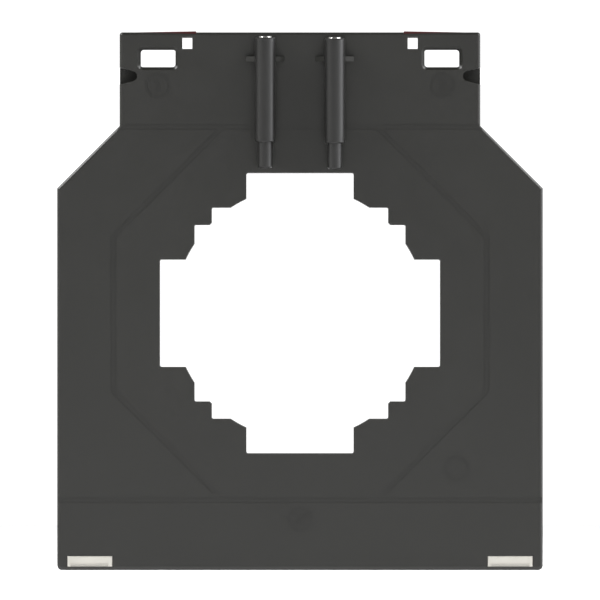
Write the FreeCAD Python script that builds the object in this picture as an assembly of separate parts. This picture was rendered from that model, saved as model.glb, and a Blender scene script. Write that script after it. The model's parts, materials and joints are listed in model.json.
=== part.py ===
import FreeCAD, Part
import math
import os

# Window-type measuring current transformer for busbars.
# X runs to the right and Y away from the viewer who looks at the rear face, and Z is up.
# The origin is the middle of the base, on the plane where the two housing shells meet.
# All lengths are in millimetres and all angles in degrees.

vector = FreeCAD.Vector

# Housing outline
housing_width = 140.0
housing_height = 155.0
housing_depth = 40.0
head_width = 104.0
shoulder_drop = 45.0
base_corner_r = 1.5
head_corner_r = 0.8
edge_round = 0.9
side_wall = 2.2
face_wall = 2.5
tongue_thickness = 1.0
tongue_height = 2.0
tongue_clearance = 0.1
seam_chamfer = 0.25

# Window for busbars and cables
wide_bar = (80.0, 30.0)
square_bar = (60.0, 50.0)
bar_clearance = 1.0
cable_bore_r = 36.5
window_corner_r = 0.5
window_wall = 2.0
window_corner_wall = 1.9

# Shallow grooves in both faces
groove_apothem = 53.0
groove_width = 1.6
groove_depth = 0.25

# Ring core, winding and wraps
coil_base_gap = 13.8
coil_head_gap = 3.0
cap_wall = 0.8
winding_thickness = 1.8
tape_thickness = 0.4
layer_clearance = 0.05
coil_clearance = 0.3
winding_gap_angle = 10.0
coil_rib_count = 8
coil_rib_thickness = 1.5
coil_rib_height = 1.8
lead_r = 0.8
lead_bend_r = 2.0
lead_hole_clearance = 0.3
lead_spread = 4.2

# Terminal chambers in the head
terminal_inset = 11.0
terminal_y = 8.5
chamber_depth = 15.8
chamber_length = 21.2
chamber_wall = 2.0
chamber_lip = 0.6
cup_wall = 1.1
cup_depth = 5.0
cup_clearance = 0.4
divider_width = 3.0
divider_height = 6.8
divider_half_thickness = 5.0

# Terminals
bar_width = 10.0
bar_thickness = 2.0
bar_end_margin = 5.5
plate_size = 8.0
plate_thickness = 1.0
plate_corner_r = 1.0
screw_r = 2.0
screw_head_r = 3.5
screw_head_height = 2.2
screw_head_round = 0.55
screw_shank = 8.0
screw_slot_width = 1.0
screw_slot_depth = 1.1
thread_clearance = 0.05
seat_clearance = 0.05
lead_inset = 2.4

# Openings in the head
slot_width = 10.2
slot_height = 5.3
slot_drop = 7.38
slot_corner_r = 0.9
slot_rim_chamfer = 0.85
seal_inset = 2.57
seal_width = 3.05
seal_height = 3.5
seal_drop = 3.03
notch_reach = 5.05
notch_tip_r = 1.5
notch_flare = 14.5
notch_run = 15.0
notch_above_bar = 1.2

# Hinged covers
cover_end_gap = 0.8
cover_hinge_inset = 2.9
cover_hinge_drop = 1.8
cover_outer_reach = 1.5
cover_thickness = 1.6
cover_rise = 0.33
cover_side_clearance = 0.3
cover_rebate_depth = 0.4
cover_rebate_length = 18.0
cover_rebate_clearance = 0.1
hinge_barrel_r = 1.4
hinge_pin_r = 0.9
hinge_pin_length = 1.5
hinge_clearance = 0.05
seal_ear_thickness = 1.6
seal_ear_rim = 0.9
seal_ear_clearance = 0.1

# Busbar clamps on the rear face
clamp_x = 10.0
sleeve_r = 3.0
sleeve_above_window = 8.8
sleeve_drop = 1.5
sleeve_standoff = 0.3
sleeve_chamfer = 0.3
sleeve_ring_height = 0.9
sleeve_ring_width = 0.3
sleeve_ring_depth = 0.1
sleeve_play = 0.3
clamp_thread_r = 1.95
clamp_bore_clearance = 0.05
clamp_screw_proud = 0.45
clamp_slot_width = 0.9
clamp_slot_depth = 1.2
clamp_chamfer = 0.35
tip_r = 2.15
tip_reach = 7.4
tip_cover = 1.3
tip_pin_r = 1.25
tip_pin_length = 2.4
rib_width = 2.0
rib_depth = 1.5
rib_end_margin = 3.0
rib_clearance = 0.05
lug_height = 1.45
lug_width = 2.5
lug_reach = 3.2
lug_outer_slope = 19.0
lug_inner_slope = 47.0
lug_drop = 6.9
lug_clearance = 0.05

# Foot strips in the base
foot_side_wall = 3.0
foot_width = 12.85
foot_height = 3.0
foot_floor = 1.0
foot_clearance = 0.12
foot_boss_wall = 1.6
foot_face_setback = 0.1
foot_lip_height = 1.0
foot_lip_setback = 0.25
foot_edge_width = 0.9
foot_inner_edge_width = 1.15
foot_edge_proud = 0.08

# Bare plate on the front face
plate_length = 66.0
plate_height = 12.0
plate_middle_height = 10.2
plate_recess = 0.5
plate_sheet = 0.4
plate_gap = 0.15
plate_round = 1.0

# Round moulded marks on the rear face
mark_r = 3.5
mark_line = 0.4
mark_relief = 0.15
mark_root = 0.3
mark_stroke = 0.5
mark_figure_height = 3.4
mark_bow_r = 1.0
mark_flag = 1.0
mark_cross = 1.6
head_mark_drop = 15.2
base_mark_height = 14.7
side_mark_x = 45.1
side_mark_height = 29.4

# The housing's outline and heights, worked out from the sizes above
half_width = housing_width / 2
half_depth = housing_depth / 2
head_half = head_width / 2
head_inner_half = head_half - side_wall
cavity_half = half_depth - face_wall
shoulder_height = housing_height - shoulder_drop
shoulder_top = shoulder_height + half_width - head_half
floor_top = housing_height - chamber_depth
floor_bottom = floor_top - chamber_wall

# The window in the middle of the coil's room, and the coil round it
wide_half = ((wide_bar[0] + bar_clearance) / 2, (wide_bar[1] + bar_clearance) / 2)
square_half = ((square_bar[0] + bar_clearance) / 2, (square_bar[1] + bar_clearance) / 2)
window_far_r = max(math.hypot(*wide_half), math.hypot(*square_half))
window_wall_r = window_far_r + window_corner_wall
coil_height_room = floor_bottom - coil_head_gap - coil_base_gap
coil_width_room = 2 * (half_width - side_wall - coil_clearance)
window_height = coil_base_gap + coil_height_room / 2
window_top = window_height + max(wide_half + square_half)
coil_layers = cap_wall + winding_thickness + tape_thickness + 3 * layer_clearance
coil_bore_r = window_wall_r + coil_clearance
coil_outer_r = min(coil_height_room, coil_width_room) / 2
coil_half_length = cavity_half - coil_rib_height - layer_clearance
core_inner_r = coil_bore_r + coil_layers
core_outer_r = coil_outer_r - coil_layers
core_half_length = coil_half_length - coil_layers

# Chambers, terminals and covers, placed from the head
terminal_x = head_half - terminal_inset
lead_x = terminal_x - lead_inset
chamber_inner_x = head_inner_half - chamber_length
chamber_opening_x = chamber_inner_x + chamber_lip
bar_top = floor_top + bar_thickness
plate_bottom = bar_top + seat_clearance
head_bottom = plate_bottom + plate_thickness + seat_clearance
notch_height = bar_top + notch_above_bar
cover_side = cavity_half - cover_side_clearance
cover_free_x = chamber_opening_x + cover_end_gap
cover_hinge_x = head_inner_half - cover_hinge_inset
cover_hinge_height = housing_height - cover_hinge_drop
seal_x = cover_free_x + seal_inset
seal_height_middle = housing_height - seal_drop

# Clamps between the window and the head's top, and the small parts
sleeve_y = -(half_depth + sleeve_standoff + sleeve_r)
sleeve_bottom = window_top + sleeve_above_window
sleeve_length = housing_height - sleeve_drop - sleeve_bottom
lug_bottom = housing_height - sleeve_drop - lug_drop
foot_x = half_width - foot_side_wall - foot_width / 2
head_mark_height = housing_height - head_mark_drop

# Names for sides and ends, and small amounts for clean cuts
EIGHTH_HALF = 22.5
REAR = -1
FRONT = 1
LEFT = -1
RIGHT = 1
SIDES = {"left": LEFT, "right": RIGHT}
ENDS = {"rear": REAR, "front": FRONT}
SPARE = 1.0
NEARLY = 0.999
TOUCH = 0.01


def box(x_pair, y_pair, z_pair):
    """A box between two values on each axis, given in either order."""
    low = vector(min(x_pair), min(y_pair), min(z_pair))
    high = vector(max(x_pair), max(y_pair), max(z_pair))
    return Part.makeBox(high.x - low.x, high.y - low.y, high.z - low.z, low)


def prism(points, y_pair):
    """A prism along Y over a closed outline of (x, z) points."""
    corners = [vector(x, y_pair[0], z) for x, z in points]
    face = Part.Face(Part.makePolygon(corners + corners[:1]))
    return face.extrude(vector(0, y_pair[1] - y_pair[0], 0))


def rod_y(x, z, radius, y_pair):
    """A cylinder along Y."""
    start = vector(x, min(y_pair), z)
    return Part.makeCylinder(radius, abs(y_pair[1] - y_pair[0]), start, vector(0, 1, 0))


def rod_z(x, y, radius, z_pair):
    """A cylinder along Z."""
    start = vector(x, y, min(z_pair))
    return Part.makeCylinder(radius, abs(z_pair[1] - z_pair[0]), start)


def ring_y(inner_r, outer_r, y_pair):
    """A plain ring round the window's axis."""
    outer = rod_y(0, window_height, outer_r, y_pair)
    return outer.cut(rod_y(0, window_height, inner_r, (y_pair[0] - SPARE, y_pair[1] + SPARE)))


def edges_along(shape, axis, places):
    """The straight edges along "y" or "z" that stand at the given places on the other two axes."""
    found = []
    for edge in shape.Edges:
        ends = [vertex.Point for vertex in edge.Vertexes]
        if len(ends) != 2:
            continue
        if axis == "y":
            spots = [(point.x, point.z) for point in ends]
        else:
            spots = [(point.x, point.y) for point in ends]
        for place in places:
            if all(math.dist(spot, place) < TOUCH for spot in spots):
                found.append(edge)
    return found


def edges_in_plane(shape, y):
    """The edges that lie wholly in one plane of constant Y."""
    found = []
    for edge in shape.Edges:
        bounds = edge.BoundBox
        if abs(bounds.YMin - y) < TOUCH and abs(bounds.YMax - y) < TOUCH:
            found.append(edge)
    return found


def round_rims(shape, z):
    """The full circles of a shape that lie at one height."""
    level = [edge for edge in shape.Edges if abs(edge.BoundBox.ZMax - z) < TOUCH]
    return [edge for edge in level if abs(edge.BoundBox.ZMin - z) < TOUCH]


def outline(inset):
    """The housing's outline, with every side moved inwards by inset."""
    side = half_width - inset
    head = head_half - inset
    bend = inset * math.tan(math.radians(EIGHTH_HALF))
    right = [
        (side, inset),
        (side, shoulder_height - bend),
        (head, shoulder_top - bend),
        (head, housing_height - inset),
    ]
    return right + [(-x, z) for x, z in reversed(right)]


def octagon(apothem):
    """A regular octagon round the window's middle, with flats at the top and sides."""
    corner_r = apothem / math.cos(math.radians(EIGHTH_HALF))
    turns = [math.radians(EIGHTH_HALF * (2 * step + 1)) for step in range(8)]
    return [(corner_r * math.cos(t), window_height + corner_r * math.sin(t)) for t in turns]


def window_solid(grow, y_pair):
    """The stepped window as a solid: each busbar lying flat and upright, and a round cable."""
    solid = rod_y(0, window_height, cable_bore_r + grow, y_pair)
    for long_half, short_half in (wide_half, square_half):
        for across, up in ((long_half, short_half), (short_half, long_half)):
            x_pair = (-across - grow, across + grow)
            z_pair = (window_height - up - grow, window_height + up + grow)
            solid = solid.fuse(box(x_pair, y_pair, z_pair))
    return solid.removeSplitter()


def window_cutter():
    """The window with its outer corners rounded."""
    reach = half_depth + SPARE
    cutter = window_solid(0, (-reach, reach))
    corners = []
    for long_half, short_half in (wide_half, square_half):
        for across, up in ((long_half, short_half), (short_half, long_half)):
            for x in (-across, across):
                corners += [(x, window_height - up), (x, window_height + up)]
    return cutter.makeFillet(window_corner_r, edges_along(cutter, "y", corners))


def window_tube(end):
    """The wall round the window in one shell, cut off where it would reach the coil."""
    y_pair = (0, end * (half_depth - edge_round))
    tube = window_solid(window_wall, y_pair)
    return tube.common(rod_y(0, window_height, window_wall_r, y_pair))


def rounded_block(end):
    """One half of the housing as a full block with rounded corners and a rounded face edge."""
    block = prism(outline(0), (0, end * half_depth))
    base = [(-half_width, 0), (half_width, 0)]
    head = [(-head_half, housing_height), (head_half, housing_height)]
    block = block.makeFillet(base_corner_r, edges_along(block, "y", base))
    block = block.makeFillet(head_corner_r, edges_along(block, "y", head))
    block = block.makeFillet(edge_round, edges_in_plane(block, end * half_depth))
    return block.makeChamfer(seam_chamfer, edges_in_plane(block, 0))


def coil_ribs(end):
    """Radial ribs on the face wall that hold the coil's end."""
    ribs = []
    start = end * (coil_half_length + layer_clearance)
    for step in range(coil_rib_count):
        z_pair = (window_height - coil_rib_thickness / 2, window_height + coil_rib_thickness / 2)
        rib = box((coil_bore_r, coil_outer_r), (start, end * (cavity_half + SPARE)), z_pair)
        turn = 360 * (step + 0.5) / coil_rib_count
        rib.rotate(vector(0, 0, window_height), vector(0, 1, 0), turn)
        ribs.append(rib)
    return ribs


def chamber_parts(side, end):
    """Walls, floor, screw cup and divider of one half of a terminal chamber."""
    deep = end * (cavity_half + SPARE)
    outer_x = side * (head_inner_half + SPARE)
    inner_x = side * (chamber_inner_x - chamber_wall)
    roof = housing_height - side_wall + SPARE
    wall = box((inner_x, side * chamber_inner_x), (0, deep), (floor_bottom, roof))
    floor = box((inner_x, outer_x), (0, deep), (floor_bottom, floor_top))
    cup_r = screw_r + cup_clearance + cup_wall
    cup_low = floor_top - cup_depth - cup_wall
    cup = rod_z(side * terminal_x, end * terminal_y, cup_r, (cup_low, floor_top))
    divider_x = (side * (head_inner_half - divider_width), outer_x)
    divider_z = (floor_top - SPARE, floor_top + divider_height)
    divider = box(divider_x, (0, end * divider_half_thickness), divider_z)
    return [wall, floor, cup, divider]


def notch_cutter(side, end):
    """The tapered notch through which a wire reaches its terminal from the side."""
    middle_x = head_half - notch_reach + notch_tip_r
    flare = math.radians(notch_flare)
    touch_x = middle_x - notch_tip_r * math.sin(flare)
    touch_z = notch_tip_r * math.cos(flare)
    mouth_x = head_half + SPARE
    mouth_z = touch_z + (mouth_x - touch_x) * math.tan(flare)
    points = [(touch_x, touch_z), (mouth_x, mouth_z), (mouth_x, -mouth_z), (touch_x, -touch_z)]
    y_pair = (end * (half_depth - notch_run), end * (half_depth + SPARE))
    taper = prism([(side * x, notch_height + z) for x, z in points], y_pair)
    return taper.fuse(rod_y(side * middle_x, notch_height, notch_tip_r, y_pair))


def slot_cutter(side, end):
    """The rounded see-through slot into the chamber, with a chamfered rim."""
    middle_z = housing_height - slot_drop
    x_pair = (side * terminal_x - slot_width / 2, side * terminal_x + slot_width / 2)
    z_pair = (middle_z - slot_height / 2, middle_z + slot_height / 2)
    face_y = end * half_depth
    slot = box(x_pair, (end * (cavity_half - SPARE), face_y), z_pair)
    places = [(x, z) for x in x_pair for z in z_pair]
    slot = slot.makeFillet(slot_corner_r, edges_along(slot, "y", places))
    rim_x = (x_pair[0] - slot_rim_chamfer, x_pair[1] + slot_rim_chamfer)
    rim_z = (z_pair[0] - slot_rim_chamfer, z_pair[1] + slot_rim_chamfer)
    rim = box(rim_x, (end * (half_depth - slot_rim_chamfer), face_y), rim_z)
    rim_places = [(x, z) for x in rim_x for z in rim_z]
    rim = rim.makeFillet(slot_corner_r + slot_rim_chamfer, edges_along(rim, "y", rim_places))
    lip = rim.cut(slot)
    lip = lip.makeChamfer(slot_rim_chamfer * NEARLY, inner_rim_edges(lip, face_y, x_pair, z_pair))
    return slot.fuse(rim.cut(lip))


def inner_rim_edges(lip, face_y, x_pair, z_pair):
    """The edges of a slot's rim that lie in the face and bound the slot itself."""
    found = []
    for edge in edges_in_plane(lip, face_y):
        reach = edge.BoundBox
        in_x = x_pair[0] - TOUCH <= reach.XMin and reach.XMax <= x_pair[1] + TOUCH
        in_z = z_pair[0] - TOUCH <= reach.ZMin and reach.ZMax <= z_pair[1] + TOUCH
        if in_x and in_z:
            found.append(edge)
    return found


def head_cuts(side, end):
    """Every opening of one half of a terminal chamber."""
    opening_x = (side * chamber_opening_x, side * head_inner_half)
    roof_z = (housing_height - side_wall - SPARE, housing_height + SPARE)
    opening = box(opening_x, (-cavity_half, cavity_half), roof_z)
    seal_x_pair = (side * seal_x - seal_width / 2, side * seal_x + seal_width / 2)
    seal_z = (seal_height_middle - seal_height / 2, seal_height_middle + seal_height / 2)
    through = (end * (cavity_half - SPARE), end * (half_depth + SPARE))
    seal = box(seal_x_pair, through, seal_z)
    rebate = cover_rebate(side, end)
    pin_end = end * (cavity_half + hinge_pin_length + hinge_clearance - cover_side_clearance)
    pin_y = (end * (cavity_half - SPARE), pin_end)
    pin_r = hinge_pin_r + hinge_clearance
    pin = rod_y(side * cover_hinge_x, cover_hinge_height, pin_r, pin_y)
    cup_z = (floor_top - cup_depth, floor_top + SPARE)
    cup = rod_z(side * terminal_x, end * terminal_y, screw_r + cup_clearance, cup_z)
    lead_z = (floor_bottom - SPARE, floor_top + SPARE)
    lead = rod_z(side * lead_x, 0, lead_r + lead_hole_clearance, lead_z)
    openings = [slot_cutter(side, end), notch_cutter(side, end)]
    return [opening, seal, rebate, pin, cup, lead] + openings


def cover_rebate(side, end):
    """The wedge taken off a face wall's top, which lets a cover's side show above it."""
    near = cover_free_x - cover_rebate_clearance
    far = near + cover_rebate_length
    low = housing_height - cover_rebate_depth
    high = housing_height + SPARE
    points = [(near, low), (far, housing_height), (far, high), (near, high)]
    y_pair = (end * (cavity_half - SPARE), end * (half_depth + SPARE))
    return prism([(side * x, z) for x, z in points], y_pair)


def foot_boss(side, end):
    """Thicker base round one foot strip's slot."""
    low_x = foot_x - foot_width / 2 - foot_boss_wall
    top = foot_floor + foot_height + foot_boss_wall
    x_pair = (side * low_x, side * (half_width - side_wall + SPARE))
    return box(x_pair, (0, end * (cavity_half + SPARE)), (side_wall - SPARE, top))


def foot_slot(side):
    """The slot that a foot strip slides into, right through the housing."""
    reach = foot_width / 2 + foot_clearance
    x_pair = (side * foot_x - reach, side * foot_x + reach)
    z_pair = (foot_floor, foot_floor + foot_height + foot_clearance)
    return box(x_pair, (-half_depth - SPARE, half_depth + SPARE), z_pair)


def face_grooves(end):
    """The octagonal groove and the two level grooves of one face."""
    y_pair = (end * (half_depth - groove_depth), end * (half_depth + SPARE))
    outer = prism(octagon(groove_apothem + groove_width), y_pair)
    grooves = [outer.cut(prism(octagon(groove_apothem), y_pair))]
    for way in (-1, 1):
        near = window_height + way * groove_apothem
        far = window_height + way * (groove_apothem + groove_width)
        grooves.append(box((-half_width - SPARE, half_width + SPARE), y_pair, (near, far)))
    return grooves


def tongue_band(thickness, y_pair):
    """A band along the inside of the outer wall, where the shells overlap."""
    outer = prism(outline(side_wall - thickness), y_pair)
    return outer.cut(prism(outline(side_wall), y_pair))


def clamp_lugs(side):
    """The two lugs beside a clamp sleeve: a flat one outside and a steep gusset towards the middle."""
    lugs = []
    for way in (-1, 1):
        slope = lug_outer_slope if way == side else lug_inner_slope
        near = side * clamp_x + way * (sleeve_r + lug_clearance)
        far = near + way * lug_width
        root = -half_depth + SPARE
        near_top = -half_depth - lug_reach
        far_top = near_top + lug_width * math.tan(math.radians(slope))
        points = [(near, root), (far, root), (far, far_top), (near, near_top)]
        corners = [vector(x, y, lug_bottom) for x, y in points]
        face = Part.Face(Part.makePolygon(corners + corners[:1]))
        lugs.append(face.extrude(vector(0, 0, lug_height)))
    return lugs


def rib_groove(side):
    """The groove in the rear face for a clamp sleeve's rib, closed at both ends."""
    reach = rib_width / 2 + rib_clearance
    x_pair = (side * clamp_x - reach, side * clamp_x + reach)
    y_pair = (-half_depth - SPARE, -half_depth + rib_depth + rib_clearance)
    low = sleeve_bottom + rib_end_margin - sleeve_play - rib_clearance
    high = sleeve_bottom + sleeve_length - rib_end_margin + rib_clearance
    return box(x_pair, y_pair, (low, high))


def plate_recess_cutter():
    """The shallow recess of the bare plate in the front face."""
    return plate_block(plate_gap, (half_depth - plate_recess, half_depth + SPARE))


def plate_block(grow, y_pair):
    """The bare plate's outline as a block with rounded corners."""
    x_pair = (-plate_length / 2 - grow, plate_length / 2 + grow)
    low = plate_middle_height - plate_height / 2 - grow
    high = plate_middle_height + plate_height / 2 + grow
    block = box(x_pair, y_pair, (low, high))
    places = [(x, z) for x in x_pair for z in (low, high)]
    return block.makeFillet(plate_round + grow, edges_along(block, "y", places))


def mark_y():
    """Where the relief of a mark starts and ends along Y."""
    return (-half_depth - mark_relief, -half_depth + mark_root)


def mark_ring(x, z):
    """The raised ring round a mark."""
    outer = rod_y(x, z, mark_r, mark_y())
    return outer.cut(rod_y(x, z, mark_r - mark_line, mark_y()))


def stroke(x, z, start, end):
    """A straight raised stroke between two points given from a mark's middle."""
    length = math.dist(start, end)
    along = ((end[0] - start[0]) / length, (end[1] - start[1]) / length)
    aside = (-along[1] * mark_stroke / 2, along[0] * mark_stroke / 2)
    corners = []
    for point, way in ((start, 1), (end, 1), (end, -1), (start, -1)):
        corners.append((x + point[0] + way * aside[0], z + point[1] + way * aside[1]))
    return prism(corners, mark_y())


def figure_one(x, z):
    """A plain numeral 1."""
    half = mark_figure_height / 2
    stem = stroke(x, z, (0, -half), (0, half))
    flag = stroke(x, z, (mark_stroke / 4, half), (-mark_flag, half - mark_flag))
    return [stem, flag]


def figure_two(x, z):
    """A plain numeral 2, from a half ring, a slanted stroke and a foot."""
    half = mark_figure_height / 2
    edge = mark_stroke / 2
    bow_z = z + half - mark_bow_r
    bow = rod_y(x, bow_z, mark_bow_r, mark_y())
    bow = bow.cut(rod_y(x, bow_z, mark_bow_r - mark_stroke, mark_y()))
    below = (bow_z - mark_bow_r, bow_z)
    bow = bow.cut(box((x - mark_bow_r, x + mark_bow_r), mark_y(), below))
    slant = stroke(x, z, (mark_bow_r - edge, half - mark_bow_r), (edge - mark_bow_r, edge - half))
    foot = stroke(x, z, (-mark_bow_r, edge - half), (mark_bow_r, edge - half))
    return [bow, slant, foot]


def marks():
    """All round marks of the rear face, with plain figures, a cross and a dot."""
    cross = mark_cross
    parts = [mark_ring(side * terminal_x, head_mark_height) for side in (LEFT, RIGHT)]
    parts += figure_one(LEFT * terminal_x, head_mark_height)
    parts += figure_two(RIGHT * terminal_x, head_mark_height)
    parts.append(mark_ring(0, base_mark_height))
    parts.append(stroke(0, base_mark_height, (-cross, -cross), (cross, cross)))
    parts.append(stroke(0, base_mark_height, (-cross, cross), (cross, -cross)))
    parts.append(mark_ring(side_mark_x, side_mark_height))
    parts.append(rod_y(side_mark_x, side_mark_height, mark_stroke, mark_y()))
    return parts


def shell(end):
    """One housing shell: the rear one carries the clamps and marks, the front one the plate."""
    body = rounded_block(end).cut(prism(outline(side_wall), (0, end * cavity_half)))
    added = [window_tube(end)] + coil_ribs(end)
    removed = [window_cutter()] + face_grooves(end)
    for side in (LEFT, RIGHT):
        added += chamber_parts(side, end) + [foot_boss(side, end)]
        removed += head_cuts(side, end) + [foot_slot(side)]
    if end == REAR:
        added.append(tongue_band(tongue_thickness, (-SPARE, tongue_height)))
        for side in (LEFT, RIGHT):
            added += clamp_lugs(side)
            removed.append(rib_groove(side))
    else:
        depth = (-SPARE, tongue_height + tongue_clearance)
        removed.append(tongue_band(tongue_thickness + tongue_clearance, depth))
        removed.append(plate_recess_cutter())
    body = body.fuse(added).cut(removed)
    if end == REAR:
        body = body.fuse(marks())
    return body.removeSplitter().Solids[0]


def ring_profile_solid(inner_r, outer_r, half_length, wall):
    """A closed ring with a hollow of the same form inside, wall thick all round."""
    outer = ring_y(inner_r, outer_r, (-half_length, half_length))
    hollow_half = half_length - wall
    return outer.cut(ring_y(inner_r + wall, outer_r - wall, (-hollow_half, hollow_half)))


def gap_wedge(angle, reach):
    """A wedge about the window's axis that points straight up."""
    half = math.radians(angle / 2)
    far = (reach * math.sin(half), window_height + reach * math.cos(half))
    points = [(0, window_height), far, (-far[0], far[1])]
    return prism(points, (-half_depth, half_depth))


def tape():
    """The coil's outer wrap, with a slit at the top where the leads come out."""
    wrap = ring_profile_solid(coil_bore_r, coil_outer_r, coil_half_length, tape_thickness)
    reach = lead_spread + 2 * lead_r
    top = window_height + coil_outer_r
    slit_z = (top - tape_thickness - SPARE, top + SPARE)
    return wrap.cut(box((-reach, reach), (-2 * lead_r, 2 * lead_r), slit_z))


def winding():
    """The secondary winding round the capped core, open at the top between its two ends."""
    skin = tape_thickness + layer_clearance
    inner = coil_bore_r + skin
    outer = coil_outer_r - skin
    ring = ring_profile_solid(inner, outer, coil_half_length - skin, winding_thickness)
    return ring.cut(gap_wedge(winding_gap_angle, 2 * coil_outer_r))


def winding_inner_top():
    """Outer radius of the capped core, where the winding's outer side begins."""
    return coil_outer_r - tape_thickness - winding_thickness - layer_clearance


def core():
    """The ring core, wound from steel strip."""
    return ring_y(core_inner_r, core_outer_r, (-core_half_length, core_half_length))


def core_cap(end):
    """One half of the insulating case round the core."""
    inner = core_inner_r - layer_clearance - cap_wall
    outer = core_outer_r + layer_clearance + cap_wall
    half = core_half_length + layer_clearance + cap_wall
    case = ring_profile_solid(inner, outer, half, cap_wall)
    keep = box((-outer - SPARE, outer + SPARE), (0, end * (half + SPARE)),
               (window_height - outer - SPARE, window_height + outer + SPARE))
    return case.common(keep)


def lead_wire(side):
    """A lead from the winding's end to the terminal bar: straight runs joined by tangent arcs."""
    start_z = window_height + winding_inner_top()
    level_z = floor_bottom - lead_bend_r - lead_hole_clearance
    start_x = side * lead_spread
    end_x = side * lead_x
    bend = lead_bend_r
    slant = bend * math.sqrt(0.5)
    lower = (start_x + side * bend, level_z - bend)
    upper = (end_x - side * bend, level_z + bend)
    points = [
        vector(start_x, 0, start_z),
        vector(start_x, 0, lower[1]),
        vector(lower[0] - side * slant, 0, lower[1] + slant),
        vector(lower[0], 0, level_z),
        vector(upper[0], 0, level_z),
        vector(upper[0] + side * slant, 0, upper[1] - slant),
        vector(end_x, 0, upper[1]),
        vector(end_x, 0, floor_top),
    ]
    edges = [
        Part.LineSegment(points[0], points[1]).toShape(),
        Part.Arc(points[1], points[2], points[3]).toShape(),
        Part.LineSegment(points[3], points[4]).toShape(),
        Part.Arc(points[4], points[5], points[6]).toShape(),
        Part.LineSegment(points[6], points[7]).toShape(),
    ]
    section = Part.Wire([Part.makeCircle(lead_r, points[0], vector(0, 0, 1))])
    return Part.Wire(edges).makePipeShell([section], True, False)


def terminal_bar(side):
    """The brass bar that joins the two terminals of one side."""
    middle = side * terminal_x
    reach = terminal_y + bar_end_margin
    x_pair = (middle - bar_width / 2, middle + bar_width / 2)
    bar = box(x_pair, (-reach, reach), (floor_top, bar_top))
    for end in (REAR, FRONT):
        hole_z = (floor_top - SPARE, bar_top + SPARE)
        bar = bar.cut(rod_z(middle, end * terminal_y, screw_r + thread_clearance, hole_z))
    return bar


def clamp_plate(side, end):
    """The square plate that a terminal screw presses on the wire."""
    x_mid = side * terminal_x
    y_mid = end * terminal_y
    half = plate_size / 2
    x_pair = (x_mid - half, x_mid + half)
    y_pair = (y_mid - half, y_mid + half)
    plate = box(x_pair, y_pair, (plate_bottom, plate_bottom + plate_thickness))
    places = [(x, y) for x in x_pair for y in y_pair]
    plate = plate.makeFillet(plate_corner_r, edges_along(plate, "z", places))
    hole_z = (plate_bottom - SPARE, plate_bottom + plate_thickness + SPARE)
    return plate.cut(rod_z(x_mid, y_mid, screw_r + thread_clearance, hole_z))


def terminal_screw(side, end):
    """A terminal screw with a slotted head."""
    x_mid = side * terminal_x
    y_mid = end * terminal_y
    top = head_bottom + screw_head_height
    head = rod_z(x_mid, y_mid, screw_head_r, (head_bottom, top))
    head = head.makeFillet(screw_head_round, [head.Edges[0]])
    shank = rod_z(x_mid, y_mid, screw_r, (head_bottom - screw_shank, head_bottom + SPARE))
    slot_x = (x_mid - screw_head_r - SPARE, x_mid + screw_head_r + SPARE)
    slot_y = (y_mid - screw_slot_width / 2, y_mid + screw_slot_width / 2)
    return head.fuse(shank).cut(box(slot_x, slot_y, (top - screw_slot_depth, top + SPARE)))


def cover(side):
    """A hinged chamber cover with two pins and two ears for a seal wire."""
    outer_x = cover_hinge_x + cover_outer_reach
    under = housing_height - cover_thickness
    profile = [
        (cover_free_x, housing_height + cover_rise),
        (outer_x, housing_height),
        (outer_x, under),
        (cover_free_x, under),
    ]
    y_pair = (-cover_side, cover_side)
    lid = prism([(side * x, z) for x, z in profile], y_pair)
    barrel = rod_y(side * cover_hinge_x, cover_hinge_height, hinge_barrel_r, y_pair)
    pin_reach = cover_side + hinge_pin_length
    pins = rod_y(side * cover_hinge_x, cover_hinge_height, hinge_pin_r, (-pin_reach, pin_reach))
    lid = lid.fuse([barrel, pins])
    hole_half = (seal_width / 2 + seal_ear_clearance, seal_height / 2 + seal_ear_clearance)
    ear_x = (side * cover_free_x, side * (seal_x + hole_half[0] + seal_ear_rim))
    ear_low = seal_height_middle - hole_half[1] - seal_ear_rim
    hole_x = (side * seal_x - hole_half[0], side * seal_x + hole_half[0])
    hole_z = (seal_height_middle - hole_half[1], seal_height_middle + hole_half[1])
    for end in (REAR, FRONT):
        ear_y = (end * cover_side, end * (cover_side - seal_ear_thickness))
        lid = lid.fuse(box(ear_x, ear_y, (ear_low, under + SPARE / 2)))
    return lid.cut(box(hole_x, (-half_depth, half_depth), hole_z)).removeSplitter()


def clamp_drop(side):
    """The right clamp rests at the lower end of its groove, and the left one at the upper end."""
    return sleeve_play if side == RIGHT else 0


def clamp_sleeve(side):
    """A guide sleeve with a rib behind it that sits in the rear face's groove, wider at its tip's end."""
    x_mid = side * clamp_x
    low = sleeve_bottom - clamp_drop(side)
    high = low + sleeve_length
    tube = rod_z(x_mid, sleeve_y, sleeve_r, (low, high))
    tube = tube.makeChamfer(sleeve_chamfer, round_rims(tube, low) + round_rims(tube, high))
    ring_z = (low + sleeve_ring_height, low + sleeve_ring_height + sleeve_ring_width)
    ring = rod_z(x_mid, sleeve_y, sleeve_r + SPARE, ring_z)
    ring = ring.cut(rod_z(x_mid, sleeve_y, sleeve_r - sleeve_ring_depth, ring_z))
    rib_x = (x_mid - rib_width / 2, x_mid + rib_width / 2)
    rib_z = (low + rib_end_margin, high - rib_end_margin)
    rib = box(rib_x, (sleeve_y, -half_depth + rib_depth), rib_z)
    bore_r = clamp_thread_r + clamp_bore_clearance
    bore = rod_z(x_mid, sleeve_y, bore_r, (low - SPARE, high + SPARE))
    seat_top = tip_top(side) + clamp_bore_clearance
    seat = rod_z(x_mid, sleeve_y, tip_r + clamp_bore_clearance, (low - SPARE, seat_top))
    return tube.cut(ring).fuse(rib).cut([bore, seat])


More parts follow.
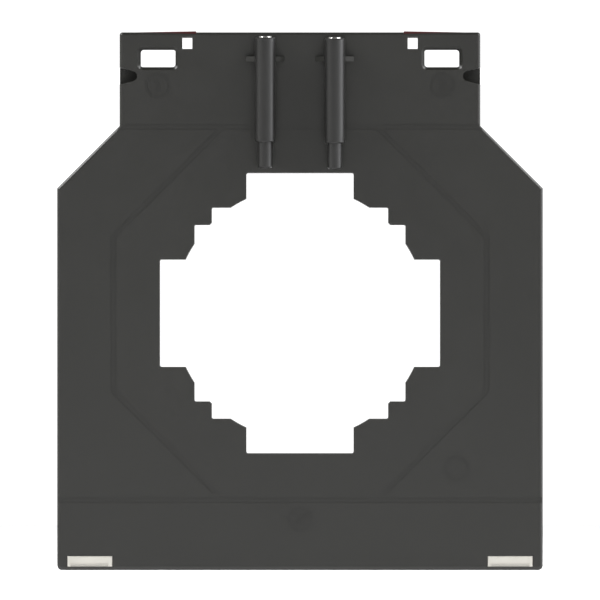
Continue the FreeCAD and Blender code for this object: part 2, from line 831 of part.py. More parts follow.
def tip_top(side):
    """Height of the joint between a clamp's tip and its screw, inside the sleeve."""
    return sleeve_bottom - clamp_drop(side) + tip_cover


def clamp_tip(side):
    """The insulated tip that presses on the busbar, with a blind bore for the screw's pin."""
    x_mid = side * clamp_x
    low = sleeve_bottom - clamp_drop(side) - tip_reach
    top = tip_top(side)
    tip = rod_z(x_mid, sleeve_y, tip_r, (low, top))
    tip = tip.makeChamfer(clamp_chamfer, round_rims(tip, low))
    bore_r = tip_pin_r + clamp_bore_clearance
    bore_low = top - tip_pin_length - 2 * clamp_bore_clearance
    return tip.cut(rod_z(x_mid, sleeve_y, bore_r, (bore_low, top + SPARE)))


def clamp_screw(side):
    """The threaded rod inside a sleeve, slotted at the top, with a pin that carries the tip."""
    x_mid = side * clamp_x
    low = tip_top(side) + seat_clearance
    top = sleeve_bottom - clamp_drop(side) + sleeve_length + clamp_screw_proud
    rod = rod_z(x_mid, sleeve_y, clamp_thread_r, (low, top))
    rod = rod.makeChamfer(clamp_chamfer, round_rims(rod, top))
    pin = rod_z(x_mid, sleeve_y, tip_pin_r, (tip_top(side) - tip_pin_length, low + SPARE))
    slot_x = (x_mid - clamp_thread_r - SPARE, x_mid + clamp_thread_r + SPARE)
    slot_y = (sleeve_y - clamp_slot_width / 2, sleeve_y + clamp_slot_width / 2)
    return rod.fuse(pin).cut(box(slot_x, slot_y, (top - clamp_slot_depth, top + SPARE)))


def foot_strip(side):
    """A pale strip in a base slot, stepped back along its lower edge between its two ends."""
    reach = half_depth - foot_face_setback
    x_pair = (side * foot_x - foot_width / 2, side * foot_x + foot_width / 2)
    top = foot_floor + foot_height
    strip = box(x_pair, (-reach, reach), (foot_floor, top))
    outer_x = side * (foot_x + foot_width / 2)
    edge_x = (outer_x, outer_x - side * foot_edge_width)
    edge_reach = reach + foot_edge_proud
    inner_x = side * (foot_x - foot_width / 2 + foot_inner_edge_width)
    strip = strip.fuse(box(edge_x, (-edge_reach, edge_reach), (foot_floor, top)))
    for end in (REAR, FRONT):
        lip_y = (end * (reach - foot_lip_setback), end * (half_depth + SPARE))
        lip_z = (foot_floor - SPARE, foot_floor + foot_lip_height)
        strip = strip.cut(box((inner_x, edge_x[1]), lip_y, lip_z))
    return strip.removeSplitter()


def rating_plate():
    """The bare plate in the front face's recess."""
    bottom = half_depth - plate_recess
    return plate_block(0, (bottom, bottom + plate_sheet))


def save(name, shape):
    """Writes one piece and says how many solids and what volume it has."""
    shape.exportStep(os.path.join("parts", name + ".step"))
    print(name, "solids", len(shape.Solids), "volume", round(shape.Volume, 1), "valid", shape.isValid())


os.makedirs("parts", exist_ok=True)
save("core", core())
save("secondary_winding", winding())
save("winding_tape", tape())
save("rating_plate", rating_plate())
for end_name, end_way in ENDS.items():
    save(end_name + "_shell", shell(end_way))
    save("core_cap_" + end_name, core_cap(end_way))
for side_name, side_way in SIDES.items():
    save("lead_wire_" + side_name, lead_wire(side_way))
    save("terminal_bar_" + side_name, terminal_bar(side_way))
    save("cover_" + side_name, cover(side_way))
    save("clamp_sleeve_" + side_name, clamp_sleeve(side_way))
    save("clamp_screw_" + side_name, clamp_screw(side_way))
    save("clamp_tip_" + side_name, clamp_tip(side_way))
    save("foot_strip_" + side_name, foot_strip(side_way))
    for end_name, end_way in ENDS.items():
        place = side_name + "_" + end_name
        save("clamp_plate_" + place, clamp_plate(side_way, end_way))
        save("terminal_screw_" + place, terminal_screw(side_way, end_way))
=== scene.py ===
import json
import math

import bmesh
import bpy
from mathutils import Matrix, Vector


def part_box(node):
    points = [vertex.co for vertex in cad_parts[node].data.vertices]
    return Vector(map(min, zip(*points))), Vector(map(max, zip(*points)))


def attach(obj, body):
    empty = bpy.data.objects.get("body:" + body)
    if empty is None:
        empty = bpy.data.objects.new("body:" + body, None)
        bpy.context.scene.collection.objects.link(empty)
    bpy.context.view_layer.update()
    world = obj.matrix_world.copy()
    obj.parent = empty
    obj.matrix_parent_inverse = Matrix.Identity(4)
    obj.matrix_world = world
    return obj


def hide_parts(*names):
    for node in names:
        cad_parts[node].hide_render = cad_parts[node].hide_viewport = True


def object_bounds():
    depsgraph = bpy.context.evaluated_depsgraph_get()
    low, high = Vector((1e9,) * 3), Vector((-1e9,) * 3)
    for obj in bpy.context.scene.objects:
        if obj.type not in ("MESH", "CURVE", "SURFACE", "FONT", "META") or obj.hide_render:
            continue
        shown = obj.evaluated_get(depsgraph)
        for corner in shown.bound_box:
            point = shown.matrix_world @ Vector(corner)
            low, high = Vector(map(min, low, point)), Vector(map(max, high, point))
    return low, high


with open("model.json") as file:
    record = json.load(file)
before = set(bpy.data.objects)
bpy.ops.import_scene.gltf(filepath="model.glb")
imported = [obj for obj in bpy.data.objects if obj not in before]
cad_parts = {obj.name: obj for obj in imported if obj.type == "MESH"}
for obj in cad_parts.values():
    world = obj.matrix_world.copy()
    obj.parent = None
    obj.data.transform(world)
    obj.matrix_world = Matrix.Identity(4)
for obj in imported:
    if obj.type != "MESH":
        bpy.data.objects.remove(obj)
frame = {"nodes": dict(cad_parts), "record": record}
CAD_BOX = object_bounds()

# Looks of a window-type measuring current transformer: materials, threads, winding, light and camera.
# All lengths are in metres, in the frame's own axes. The rear face looks towards -Y.

MM = 0.001

SIDES = ("left", "right")
ENDS = ("rear", "front")

# Turned pieces: metric threads, and the smallest step between two rows or points
PITCH = 0.7 * MM
THREAD_DEPTH = 0.38 * MM
ROWS_PER_TURN = 8
TURNED_COLUMNS = 40
HAIR = 0.001 * MM
SMOOTH_ANGLE = 40.0

# Winding: the wire's radius, its turns' spacing and its corners as shares of the layer or the wire
WIRE_SHARE = 0.46
WIRE_SPACING = 2.12
WIRE_CORNER = 0.9
WIRE_SIDES = 6
CORNER_STEPS = 3
WINDING_GAP = math.radians(12.0)
WIRE_SMOOTH_ANGLE = 70.0

# Round marks on the rear face, as (x, z): the discs of the mould's inserts are coloured darker than the
# face round them, and their raised lines darker still as painted shade along their edges
MARK_PLACES = (
    (-41.0 * MM, 139.8 * MM),
    (41.0 * MM, 139.8 * MM),
    (0.0, 14.7 * MM),
    (45.1 * MM, 29.4 * MM),
)
MARK_RADIUS = 3.5 * MM
MARK_GROUND = -19.9 * MM
MARK_HALF_RELIEF = -20.08 * MM
DISC_SHADE = 0.07
# Painted shade: the marks' raised lines are darkened to stand in for the shading along their edges
PAINTED_LINE_SHADE = 0.16

# Finish of the plastics and metals
GRAIN_STRENGTH = 0.35
GRAIN_DEPTH = 0.02 * MM
SHEEN_CHANGE = 0.03
LINE_STRENGTH = 0.25
LINE_DEPTH = 0.01 * MM
TARNISH = 0.12

# Broken edges of the plain CAD pieces, in millimetres
EDGE_WIDTHS = {
    "cover_left": 0.22,
    "cover_right": 0.22,
    "foot_strip_left": 0.10,
    "foot_strip_right": 0.10,
    "terminal_bar_left": 0.18,
    "terminal_bar_right": 0.18,
    "rating_plate": 0.06,
}
CLAMP_PLATE_EDGE = 0.12
EDGE_SEGMENTS = 3
EDGE_ANGLE = math.radians(50.0)

# Photographed area at the rear face, and the camera's place
VIEW_WIDTH = 172.94 * MM
VIEW_HEIGHT_MIDDLE = 77.85 * MM
CAMERA_DISTANCE = 8.0
SENSOR = 36.0

# Light of the tent round the object: across from left to right, and from the horizon up to the zenith
TENT_LEVEL = 6.0
TENT_ACROSS = (
    (0.0, (0.133, 0.131, 0.125)),
    (0.04, (0.122, 0.120, 0.114)),
    (0.15, (0.079, 0.079, 0.077)),
    (0.30, (0.066, 0.066, 0.064)),
    (0.50, (0.074, 0.074, 0.072)),
    (0.60, (0.091, 0.091, 0.090)),
    (0.80, (0.145, 0.145, 0.145)),
    (0.88, (0.235, 0.235, 0.237)),
    (0.95, (0.450, 0.453, 0.460)),
    (0.98, (0.660, 0.665, 0.680)),
    (1.0, (0.80, 0.81, 0.835)),
)
TENT_UP = (
    (0.0, (1.0, 1.0, 1.0)),
    (0.35, (1.0, 1.0, 1.0)),
    (0.80, (0.15, 0.15, 0.15)),
    (1.0, (0.10, 0.10, 0.10)),
)
BACKDROP_LEVEL = 1.2

# Floor and soft boxes
FLOOR_GLOW = 0.29
FLOOR_RADIUS = 1.6
FLOOR_COLUMNS = 96
SOFT_BOXES = {"upper_left": ((-1.25, -0.35, 1.35), 22.0), "upper_right": ((1.25, -0.35, 1.35), 16.0)}
SOFT_BOX_SIZE = 0.75
SOFT_BOX_AIM = (0, 0, 0.08)


def node_low(name):
    """Lowest corner of a CAD node."""
    return Vector(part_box(name)[0])


def node_high(name):
    """Highest corner of a CAD node."""
    return Vector(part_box(name)[1])


def half_width(name):
    """Half of a CAD node's width, which is the radius of a round one."""
    return (node_high(name).x - node_low(name).x) / 2


def ramp(nodes, links, value, stops):
    """A ramp of colours over a value, from rising (position, colour) stops."""
    node = nodes.new("ShaderNodeValToRGB")
    elements = node.color_ramp.elements
    for element, (position, colour) in zip(list(elements), (stops[0], stops[-1])):
        element.position = position
        element.color = (*colour, 1)
    for position, colour in stops[1:-1]:
        elements.new(position).color = (*colour, 1)
    links.new(value, node.inputs["Fac"])
    return node.outputs["Color"]


def product(nodes, links, first, second):
    """Two colours multiplied."""
    node = nodes.new("ShaderNodeMix")
    node.data_type = "RGBA"
    node.blend_type = "MULTIPLY"
    node.inputs["Factor"].default_value = 1
    links.new(first, node.inputs["A"])
    links.new(second, node.inputs["B"])
    return node.outputs["Result"]


class Graph:
    """A material's node tree with short ways to add and join nodes."""

    def __init__(self, name):
        self.material = bpy.data.materials.new(name)
        self.material.use_nodes = True
        self.nodes = self.material.node_tree.nodes
        self.links = self.material.node_tree.links
        self.shader = self.nodes["Principled BSDF"]
        self.coords = self.nodes.new("ShaderNodeTexCoord").outputs["Object"]

    def join(self, output, target):
        """Links an output to an input."""
        self.links.new(output, target)

    def set(self, **values):
        """Sets the shader's own sockets."""
        for key, value in values.items():
            self.shader.inputs[key.replace("_", " ")].default_value = value

    def noise(self, scale, detail=2.0, roughness=0.5, stretch=None):
        """Noise over the object, with an optional stretch of its axes."""
        node = self.nodes.new("ShaderNodeTexNoise")
        node.inputs["Scale"].default_value = scale
        node.inputs["Detail"].default_value = detail
        node.inputs["Roughness"].default_value = roughness
        source = self.coords
        if stretch:
            mapping = self.nodes.new("ShaderNodeMapping")
            mapping.inputs["Scale"].default_value = stretch
            self.join(source, mapping.inputs["Vector"])
            source = mapping.outputs["Vector"]
        self.join(source, node.inputs["Vector"])
        return node.outputs["Fac"]

    def rings(self, scale):
        """Rings round the window's axis."""
        node = self.nodes.new("ShaderNodeTexWave")
        node.wave_type = "RINGS"
        node.rings_direction = "Y"
        node.inputs["Scale"].default_value = scale
        self.join(self.coords, node.inputs["Vector"])
        return node.outputs["Fac"]

    def spread(self, value, low, high, start=0.3, end=0.7):
        """A value mapped from its usual spread to a range of its own."""
        node = self.nodes.new("ShaderNodeMapRange")
        node.inputs["From Min"].default_value = start
        node.inputs["From Max"].default_value = end
        node.inputs["To Min"].default_value = low
        node.inputs["To Max"].default_value = high
        self.join(value, node.inputs["Value"])
        return node.outputs["Result"]

    def blend(self, value, first, second, start=0.3, end=0.7):
        """Two colours blended by a value."""
        return ramp(self.nodes, self.links, value, ((start, first), (end, second)))

    def calc(self, operation, first, second):
        """One sum, product or comparison of two values or outputs."""
        node = self.nodes.new("ShaderNodeMath")
        node.operation = operation
        for socket, value in zip(node.inputs, (first, second)):
            if isinstance(value, (int, float)):
                socket.default_value = value
            else:
                self.join(value, socket)
        return node.outputs["Value"]

    def marks_darkened_with_painted_line_shade(self):
        """A factor that darkens the discs of the rear face's round marks, and their raised lines more as
        painted shade along their edges.
        """
        parts = self.nodes.new("ShaderNodeSeparateXYZ")
        self.join(self.coords, parts.inputs["Vector"])
        flat = self.nodes.new("ShaderNodeCombineXYZ")
        self.join(parts.outputs["X"], flat.inputs["X"])
        self.join(parts.outputs["Z"], flat.inputs["Z"])
        discs = 0.0
        for x, z in MARK_PLACES:
            away = self.nodes.new("ShaderNodeVectorMath")
            away.operation = "DISTANCE"
            self.join(flat.outputs["Vector"], away.inputs[0])
            away.inputs[1].default_value = (x, 0, z)
            near = self.calc("LESS_THAN", away.outputs["Value"], MARK_RADIUS)
            discs = self.calc("ADD", near, discs)
        rear = self.calc("LESS_THAN", parts.outputs["Y"], MARK_GROUND)
        # Painted shade on the raised lines, standing in for the shading along their edges
        raised = self.calc("LESS_THAN", parts.outputs["Y"], MARK_HALF_RELIEF)
        ground_shade = self.calc("MULTIPLY", rear, DISC_SHADE)
        painted_line_shade = self.calc("MULTIPLY", raised, PAINTED_LINE_SHADE)
        shade = self.calc("ADD", ground_shade, painted_line_shade)
        return self.calc("SUBTRACT", 1.0, self.calc("MULTIPLY", discs, shade))

    def colour(self, output):
        """Colours the shader."""
        self.join(output, self.shader.inputs["Base Color"])

    def rough(self, output):
        """Sets the shader's roughness."""
        self.join(output, self.shader.inputs["Roughness"])

    def bump(self, height, strength, depth):
        """Bumps from a height."""
        node = self.nodes.new("ShaderNodeBump")
        node.inputs["Strength"].default_value = strength
        node.inputs["Distance"].default_value = depth
        self.join(height, node.inputs["Height"])
        self.join(node.outputs["Normal"], self.shader.inputs["Normal"])


def scaled(colour, factor):
    """A colour made lighter or darker."""
    return tuple(channel * factor for channel in colour)


def moulded_plastic(name, colour, roughness, grain=4500.0, change=0.06, marks=False):
    """Moulded plastic: a fine spark-eroded grain, slight flow marks and an uneven sheen."""
    graph = Graph(name)
    fine = graph.noise(grain, detail=3.0, roughness=0.6)
    flow = graph.noise(38.0, detail=2.0, roughness=0.45)
    patches = graph.noise(140.0, detail=3.0, roughness=0.55)
    body = graph.blend(flow, scaled(colour, 1 - change), scaled(colour, 1 + change))
    if marks:
        # Darker mark discs, with painted shade on their raised lines
        body = product(graph.nodes, graph.links, body, graph.marks_darkened_with_painted_line_shade())
    graph.colour(body)
    graph.rough(graph.spread(patches, roughness - SHEEN_CHANGE, roughness + SHEEN_CHANGE))
    graph.bump(fine, GRAIN_STRENGTH, GRAIN_DEPTH)
    return graph.material


def brushed_metal(name, colour, roughness, stretch, fine=900.0):
    """Metal with fine tool lines along one direction, and slightly uneven tarnish."""
    graph = Graph(name)
    lines = graph.noise(fine, detail=4.0, roughness=0.65, stretch=stretch)
    tarnish = graph.noise(260.0, detail=3.0)
    graph.colour(graph.blend(tarnish, scaled(colour, 1 - TARNISH), colour))
    graph.rough(graph.spread(lines, roughness - 0.07, roughness + 0.09))
    graph.bump(lines, LINE_STRENGTH, LINE_DEPTH)
    graph.set(Metallic=1.0)
    return graph.material


def strip_steel(name):
    """The edge of a wound steel strip: fine rings round the window's axis."""
    graph = Graph(name)
    rings = graph.rings(700.0)
    uneven = graph.noise(60.0, detail=3.0, roughness=0.6)
    graph.colour(graph.blend(uneven, (0.30, 0.31, 0.33), (0.44, 0.45, 0.47)))
    graph.rough(graph.spread(rings, 0.32, 0.55, start=0.0, end=1.0))
    graph.bump(rings, strength=0.6, depth=0.03 * MM)
    graph.set(Metallic=1.0)
    return graph.material


def enamelled_copper(name):
    """Copper wire under clear amber enamel."""
    graph = Graph(name)
    uneven = graph.noise(900.0)
    graph.colour(graph.blend(uneven, (0.50, 0.16, 0.06), (0.66, 0.25, 0.09)))
    graph.rough(graph.spread(graph.noise(400.0), 0.24, 0.38))
    graph.set(Metallic=0.85, Coat_Weight=0.6, Coat_Roughness=0.12)
    return graph.material


def film_tape(name):
    """Yellow polyester film tape, wrapped with an overlap, its colour darker in the hollows of its creases
    as painted shade.
    """
    graph = Graph(name)
    creases = graph.noise(180.0, detail=4.0, roughness=0.6, stretch=(1.0, 0.25, 1.0))
    # Painted shade: the colour follows the creases' bump, darker in their hollows and lighter on their
    # ridges
    graph.colour(graph.blend(creases, (0.56, 0.40, 0.07), (0.72, 0.54, 0.13)))
    graph.rough(graph.spread(creases, 0.18, 0.34))
    graph.bump(creases, strength=0.5, depth=0.06 * MM)
    graph.set(Coat_Weight=0.4, Coat_Roughness=0.15)
    return graph.material


def floor_paper(name):
    """Pale seamless paper."""
    graph = Graph(name)
    fibres = graph.noise(900.0, detail=3.0, roughness=0.6)
    graph.colour(graph.blend(fibres, (0.88, 0.88, 0.88), (0.92, 0.92, 0.92)))
    graph.rough(graph.spread(fibres, 0.85, 0.95))
    graph.set(Emission_Color=(1, 1, 1, 1), Emission_Strength=FLOOR_GLOW)
    return graph.material


MATERIALS = {
    "housing": moulded_plastic("housing_black", (0.0103, 0.0103, 0.0087), 0.39, marks=True),
    "covers": moulded_plastic("cover_dark_red", (0.085, 0.012, 0.013), 0.36, grain=2500.0),
    "clamp_plastic": moulded_plastic("clamp_black", (0.0110, 0.0110, 0.0106), 0.36, grain=3200.0),
    "clamp_steel": brushed_metal("zinc_plated_steel", (0.66, 0.65, 0.63), 0.26, (1.0, 1.0, 0.05)),
    "foot_strips": moulded_plastic("strip_ivory", (0.495, 0.480, 0.438), 0.42, grain=2200.0, change=0.02),
    "core_steel": strip_steel("core_strip_steel"),
    "core_caps": moulded_plastic("cap_white", (0.72, 0.72, 0.68), 0.5, change=0.03),
    "copper_winding": enamelled_copper("enamelled_copper"),
    "coil_tape": film_tape("film_tape"),
    "lead_insulation": moulded_plastic("lead_black", (0.02, 0.02, 0.022), 0.38),
    "terminal_brass": brushed_metal("nickel_brass", (0.70, 0.58, 0.34), 0.30, (1.0, 0.05, 1.0)),
    "terminal_steel": brushed_metal("bright_steel", (0.62, 0.62, 0.62), 0.28, (0.06, 1.0, 1.0)),
    "plate": brushed_metal("plate_aluminium", (0.78, 0.79, 0.80), 0.34, (0.04, 1.0, 1.0), fine=1600.0),
}


def dress_nodes():
    """Gives each CAD node the material of its slot in the record."""
    for part in frame["record"]["subparts"]:
        node = frame["nodes"][part["node"]]
        node.data.materials.clear()
        node.data.materials.append(MATERIALS[part["material_slot"]])


def body_of(node):
    """The body that a CAD node belongs to."""
    for body, members in frame["record"]["behaviour"]["bodies"].items():
        if node in members:
            return body
    raise KeyError(node)


def slot_of(node):
    """The record's material slot of a CAD node."""
    for part in frame["record"]["subparts"]:
        if part["node"] == node:
            return part["material_slot"]
    raise KeyError(node)


def to_scene(name, data):
    """A new object in the scene."""
    thing = bpy.data.objects.new(name, data)
    bpy.context.scene.collection.objects.link(thing)
    return thing


def shade_by_angle(clean, smooth_angle):
    """Smooth shading where faces meet at less than an angle, and sharp edges elsewhere."""
    limit = math.radians(smooth_angle)
    for edge in clean.edges:
        edge.smooth = len(edge.link_faces) == 2 and edge.calc_face_angle(0.0) < limit
    for face in clean.faces:
        face.smooth = True


def mesh_object(name, vertices, faces, smooth_angle=SMOOTH_ANGLE):
    """A mesh object, joined where its points meet and shaded by angle."""
    mesh = bpy.data.meshes.new(name)
    mesh.from_pydata(vertices, [], faces)
    clean = bmesh.new()
    clean.from_mesh(mesh)
    bmesh.ops.remove_doubles(clean, verts=clean.verts, dist=HAIR)
    bmesh.ops.recalc_face_normals(clean, faces=clean.faces)
    shade_by_angle(clean, smooth_angle)
    clean.to_mesh(mesh)
    clean.free()
    return to_scene(name, mesh)


def stand_for(piece, node):
    """Puts a detailed piece in a CAD node's place, on its body and with its finish."""
    piece.data.materials.append(MATERIALS[slot_of(node)])
    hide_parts(node)
    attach(piece, body_of(node))


def turned(centre, rows):
    """Vertices and faces of a closed body turned about a vertical line, from (radius, z) rows.

    A row's radius may be a function of the angle, for threads.
    """
    columns = TURNED_COLUMNS
    vertices, faces = [], []
    for radius, z in rows:
        for step in range(columns):
            angle = 2 * math.pi * step / columns
            reach = radius(angle) if callable(radius) else radius
            vertices.append((centre.x + reach * math.cos(angle), centre.y + reach * math.sin(angle), z))
    for row in range(len(rows) - 1):
        low, high = row * columns, (row + 1) * columns
        for step in range(columns):
            after = (step + 1) % columns
            faces.append((low + step, low + after, high + after, high + step))
    last = (len(rows) - 1) * columns
    faces.append(tuple(range(columns)))
    faces.append(tuple(last + step for step in range(columns)))
    return vertices, faces


def thread_radius(crest_r, z, z_low, z_high):
    """Radius of a metric thread at a height, as a function of the angle, faded out at both ends."""
    fade = max(0.0, min(1.0, (z - z_low) / PITCH, (z_high - z) / PITCH))

    def radius(angle):
        phase = (z / PITCH - angle / (2 * math.pi)) % 1.0
        ridge = 1.0 - abs(2 * phase - 1)
        flank = min(1.0, max(0.0, 1.25 * ridge - 0.1))
        return crest_r - THREAD_DEPTH * (1 - flank) * fade

    return radius


def threaded_rows(crest_r, z_low, z_high):
    """Rows of a threaded stretch."""
    count = max(2, round((z_high - z_low) / PITCH * ROWS_PER_TURN))
    heights = [z_low + (z_high - z_low) * step / count for step in range(count + 1)]
    return [(thread_radius(crest_r, z, z_low, z_high), z) for z in heights]


def cut_slot(piece, centre, length, width, z_low, z_high):
    """Cuts a box out of a screw's top for good."""
    x, y = length / 2, width / 2
    corners = [(-x, -y), (x, -y), (x, y), (-x, y)]
    vertices = [(centre.x + a, centre.y + b, z_low) for a, b in corners]
    vertices += [(centre.x + a, centre.y + b, z_high) for a, b in corners]
    faces = [(0, 1, 2, 3), (4, 5, 6, 7), (0, 1, 5, 4), (1, 2, 6, 5), (2, 3, 7, 6), (3, 0, 4, 7)]
    cutter = mesh_object("cutter", vertices, faces)
    modifier = piece.modifiers.new("cut", "BOOLEAN")
    modifier.operation = "DIFFERENCE"
    modifier.solver = "EXACT"
    modifier.object = cutter
    graph = bpy.context.evaluated_depsgraph_get()
    mesh = bpy.data.meshes.new_from_object(piece.evaluated_get(graph))
    piece.modifiers.clear()
    piece.data = mesh
    bpy.data.objects.remove(cutter)


def reshade(piece):
    """Shades a piece by angle again after cuts."""
    clean = bmesh.new()
    clean.from_mesh(piece.data)
    shade_by_angle(clean, SMOOTH_ANGLE)
    clean.to_mesh(piece.data)
    clean.free()


def clamp_screw(side):
    """The long threaded rod of a busbar clamp, slotted at its top and with a turned pin below."""
    node = f"clamp_screw_{side}"
    low, high = node_low(node), node_high(node)
    centre = (low + high) / 2
    crest_r = half_width(node)
    pin_r = 1.25 * MM
    pin_length = 2.45 * MM
    pin_chamfer = 0.2 * MM
    chamfer = 0.35 * MM
    bulge = 0.08 * MM
    bulge_height = 0.6 * chamfer
    plain_top = 0.15 * MM
    top_ring = 0.5 * MM
    slot_length = 6 * MM
    slot_width = 0.9 * MM
    slot_depth = 1.2 * MM
    shoulder = low.z + pin_length
    rows = [(pin_r - pin_chamfer, low.z), (pin_r, low.z + pin_chamfer), (pin_r, shoulder)]
    rows += [(crest_r - chamfer, shoulder + HAIR)]
    rows += threaded_rows(crest_r, shoulder + chamfer, high.z - chamfer - plain_top)
    rows += [(crest_r, high.z - chamfer), (crest_r - bulge, high.z - bulge_height)]
    rows += [(crest_r - chamfer, high.z), (crest_r - chamfer - top_ring, high.z)]
    piece = mesh_object(f"threaded_rod_{side}", *turned(centre, rows))
    cut_slot(piece, centre, slot_length, slot_width, high.z - slot_depth, high.z + MM)
    reshade(piece)
    stand_for(piece, node)


def terminal_screw(side, end):
    """A terminal screw with a rounded head, a slot crossed by a second one, and a threaded shank."""
    node = f"terminal_screw_{side}_{end}"
    low, high = node_low(node), node_high(node)
    centre = (low + high) / 2
    head_r = half_width(node)
    head_height = 2.2 * MM
    head_chamfer = 0.12 * MM
    round_r = 0.6 * MM
    round_steps = 6
    top_ring = 1.6 * MM
    shank_r = 2.0 * MM
    tip_r = shank_r - 0.45 * MM
    tip_end_r = shank_r - 0.1 * MM
    tip_height = 0.35 * MM
    thread_start = 0.4 * MM
    thread_runout = 0.5 * MM
    slot_length = 9 * MM
    slot_width = 1.0 * MM
    slot_depth = 1.1 * MM
    cross_length = 0.9 * MM
    cross_width = 3.9 * MM
    cross_depth = slot_depth + 0.3 * MM
    under = high.z - head_height
    rows = [(tip_r, low.z), (tip_end_r, low.z + tip_height)]
    rows += threaded_rows(shank_r, low.z + thread_start, under - thread_runout)
    rows += [(shank_r, under), (head_r - head_chamfer, under + HAIR), (head_r, under + head_chamfer)]
    for step in range(round_steps + 1):
        angle = math.pi / 2 * step / round_steps
        reach = head_r - round_r + round_r * math.cos(angle)
        rows.append((reach, high.z - round_r + round_r * math.sin(angle)))
    rows.append((head_r - top_ring, high.z))
    piece = mesh_object(f"screw_{side}_{end}", *turned(centre, rows))
    cut_slot(piece, centre, slot_length, slot_width, high.z - slot_depth, high.z + MM)
    cut_slot(piece, centre, cross_length, cross_width, high.z - cross_depth, high.z + MM)
    reshade(piece)
    stand_for(piece, node)


def winding_bore():
    """The winding's inner radius: the smallest distance of its vertices from the window's axis."""
    mesh = frame["nodes"]["secondary_winding"].data
    middle_z = node_low("winding_tape").z + half_width("winding_tape")
    return min(math.hypot(v.co.x, v.co.z - middle_z) for v in mesh.vertices)


def rounded_section(inner_r, outer_r, side_y, corner):
    """The closed path of one turn round the ring's section, as (radius, y) points."""
    points = []
    corners = [
        (outer_r - corner, side_y - corner, 0.0),
        (inner_r + corner, side_y - corner, math.pi / 2),
        (inner_r + corner, -side_y + corner, math.pi),
        (outer_r - corner, -side_y + corner, 3 * math.pi / 2),
    ]
    for radius, y, start in corners:
        for step in range(CORNER_STEPS + 1):
            angle = start + math.pi / 2 * step / CORNER_STEPS
            points.append((radius + corner * math.cos(angle), y + corner * math.sin(angle)))
    return points


def secondary_winding():
    """One layer of enamelled wire, wound turn by turn round the capped core."""
    node = "secondary_winding"
    low, high = node_low(node), node_high(node)
    outer = half_width(node)
    middle_z = low.z + outer
    layer = outer - half_width("core_cap_rear")
    wire_r = WIRE_SHARE * layer
    inner_r = winding_bore() + layer / 2
    outer_r = outer - layer / 2
    side_y = (high.y - low.y) / 2 - layer / 2
    path = rounded_section(inner_r, outer_r, side_y, WIRE_CORNER * layer)
    steps = len(path)
    turn_angle = WIRE_SPACING * wire_r / inner_r
    total = steps * int((2 * math.pi - WINDING_GAP) / turn_angle)
    start = math.pi / 2 + WINDING_GAP / 2
    vertices, faces = [], []
    for index in range(total + 1):
        radius, y = path[index % steps]
        before_r, before_y = path[(index - 1) % steps]
        after_r, after_y = path[(index + 1) % steps]
        angle = start + turn_angle * index / steps
        along = Vector((after_r - before_r, after_y - before_y)).normalized()
        radial = Vector((math.cos(angle), 0, math.sin(angle)))
        around = Vector((-math.sin(angle), 0, math.cos(angle)))
        middle = radial * radius + Vector((0, y, middle_z))
        outward = radial * along.y + Vector((0, -along.x, 0))
        for side in range(WIRE_SIDES):
            turn = 2 * math.pi * side / WIRE_SIDES
            vertices.append(middle + (outward * math.cos(turn) + around * math.sin(turn)) * wire_r)
    for index in range(total):
        ring, next_ring = index * WIRE_SIDES, (index + 1) * WIRE_SIDES
        for side in range(WIRE_SIDES):
            after = (side + 1) % WIRE_SIDES
            faces.append((ring + side, ring + after, next_ring + after, next_ring + side))
    faces.append(tuple(range(WIRE_SIDES)))
    faces.append(tuple(total * WIRE_SIDES + side for side in range(WIRE_SIDES)))
    stand_for(mesh_object("winding_turns", vertices, faces, WIRE_SMOOTH_ANGLE), node)


def soften_edges():
    """Breaks the sharp edges of plain CAD pieces, as a mould or a tumbled stamping does."""
    widths = dict(EDGE_WIDTHS)
    for side in SIDES:
        for end in ENDS:
            widths[f"clamp_plate_{side}_{end}"] = CLAMP_PLATE_EDGE
    for name, width in widths.items():
        modifier = frame["nodes"][name].modifiers.new("soft_edge", "BEVEL")
        modifier.width = width * MM
        modifier.segments = EDGE_SEGMENTS
        modifier.limit_method = "ANGLE"
        modifier.angle_limit = EDGE_ANGLE
        modifier.harden_normals = True


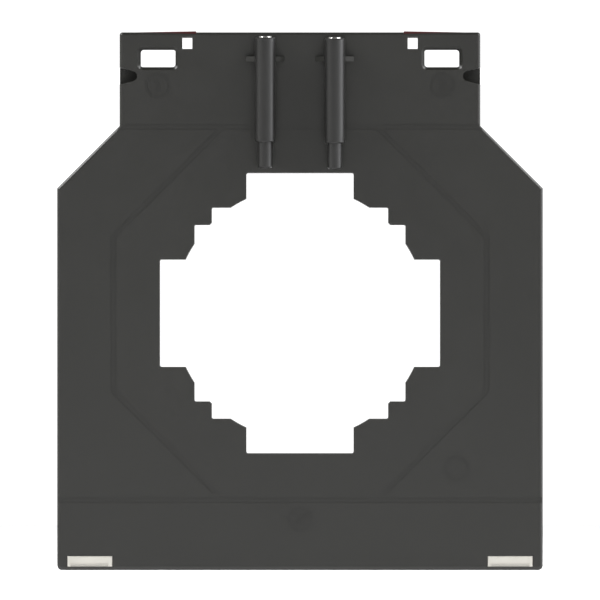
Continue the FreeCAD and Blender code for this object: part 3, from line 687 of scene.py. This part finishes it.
def surroundings():
    """White walls for the camera, and for everything else the light of a large tent.

    The tent is brightest at the right, less so at the left, plain in front and darker overhead.
    """
    world = bpy.data.worlds.new("studio")
    world.use_nodes = True
    nodes, links = world.node_tree.nodes, world.node_tree.links
    backdrop = nodes["Background"]
    backdrop.inputs["Color"].default_value = (1, 1, 1, 1)
    backdrop.inputs["Strength"].default_value = BACKDROP_LEVEL

    parts = nodes.new("ShaderNodeSeparateXYZ")
    links.new(nodes.new("ShaderNodeTexCoord").outputs["Generated"], parts.inputs["Vector"])
    across = nodes.new("ShaderNodeMapRange")
    across.inputs["From Min"].default_value = -1
    links.new(parts.outputs["X"], across.inputs["Value"])
    sides = ramp(nodes, links, across.outputs["Result"], TENT_ACROSS)
    heights = ramp(nodes, links, parts.outputs["Z"], TENT_UP)
    tent = nodes.new("ShaderNodeBackground")
    tent.inputs["Strength"].default_value = TENT_LEVEL
    links.new(product(nodes, links, sides, heights), tent.inputs["Color"])

    rays = nodes.new("ShaderNodeLightPath")
    mix = nodes.new("ShaderNodeMixShader")
    links.new(rays.outputs["Is Camera Ray"], mix.inputs["Fac"])
    links.new(tent.outputs["Background"], mix.inputs[1])
    links.new(backdrop.outputs["Background"], mix.inputs[2])
    links.new(mix.outputs["Shader"], nodes["World Output"].inputs["Surface"])
    bpy.context.scene.world = world


def soft_light(name, place, radiance):
    """A square soft box that the camera doesn't see. Its power follows from its radiance."""
    light = bpy.data.lights.new(name, "AREA")
    light.shape = "RECTANGLE"
    light.size = SOFT_BOX_SIZE
    light.size_y = SOFT_BOX_SIZE
    light.energy = radiance * math.pi * SOFT_BOX_SIZE * SOFT_BOX_SIZE
    lamp = to_scene(name, light)
    lamp.location = place
    lamp.rotation_euler = (Vector(SOFT_BOX_AIM) - Vector(place)).to_track_quat("-Z", "Y").to_euler()
    lamp.visible_camera = False


def studio():
    """Pale round floor, the tent and soft boxes above both sides."""
    surroundings()
    floor_z = CAD_BOX[0][2]
    points = []
    for step in range(FLOOR_COLUMNS):
        angle = 2 * math.pi * step / FLOOR_COLUMNS
        points.append((FLOOR_RADIUS * math.cos(angle), FLOOR_RADIUS * math.sin(angle), floor_z))
    floor = mesh_object("floor", points, [tuple(range(FLOOR_COLUMNS))])
    floor.data.materials.append(floor_paper("pale_paper"))
    for name, (place, radiance) in SOFT_BOXES.items():
        soft_light(name, place, radiance)


def camera():
    """A long lens straight in front of the rear face, as the photograph looks at it."""
    data = bpy.data.cameras.new("camera")
    data.sensor_width = SENSOR
    reach = CAMERA_DISTANCE - node_high("front_shell").y
    data.lens = SENSOR * reach / VIEW_WIDTH
    data.clip_end = 2 * CAMERA_DISTANCE
    eye = to_scene("camera", data)
    eye.location = (0, -CAMERA_DISTANCE, VIEW_HEIGHT_MIDDLE)
    eye.rotation_euler = (math.pi / 2, 0, 0)
    bpy.context.scene.camera = eye


dress_nodes()
soften_edges()
for side_name in SIDES:
    clamp_screw(side_name)
    for end_name in ENDS:
        terminal_screw(side_name, end_name)
secondary_winding()
studio()
camera()
bpy.context.scene.view_settings.view_transform = "Standard"
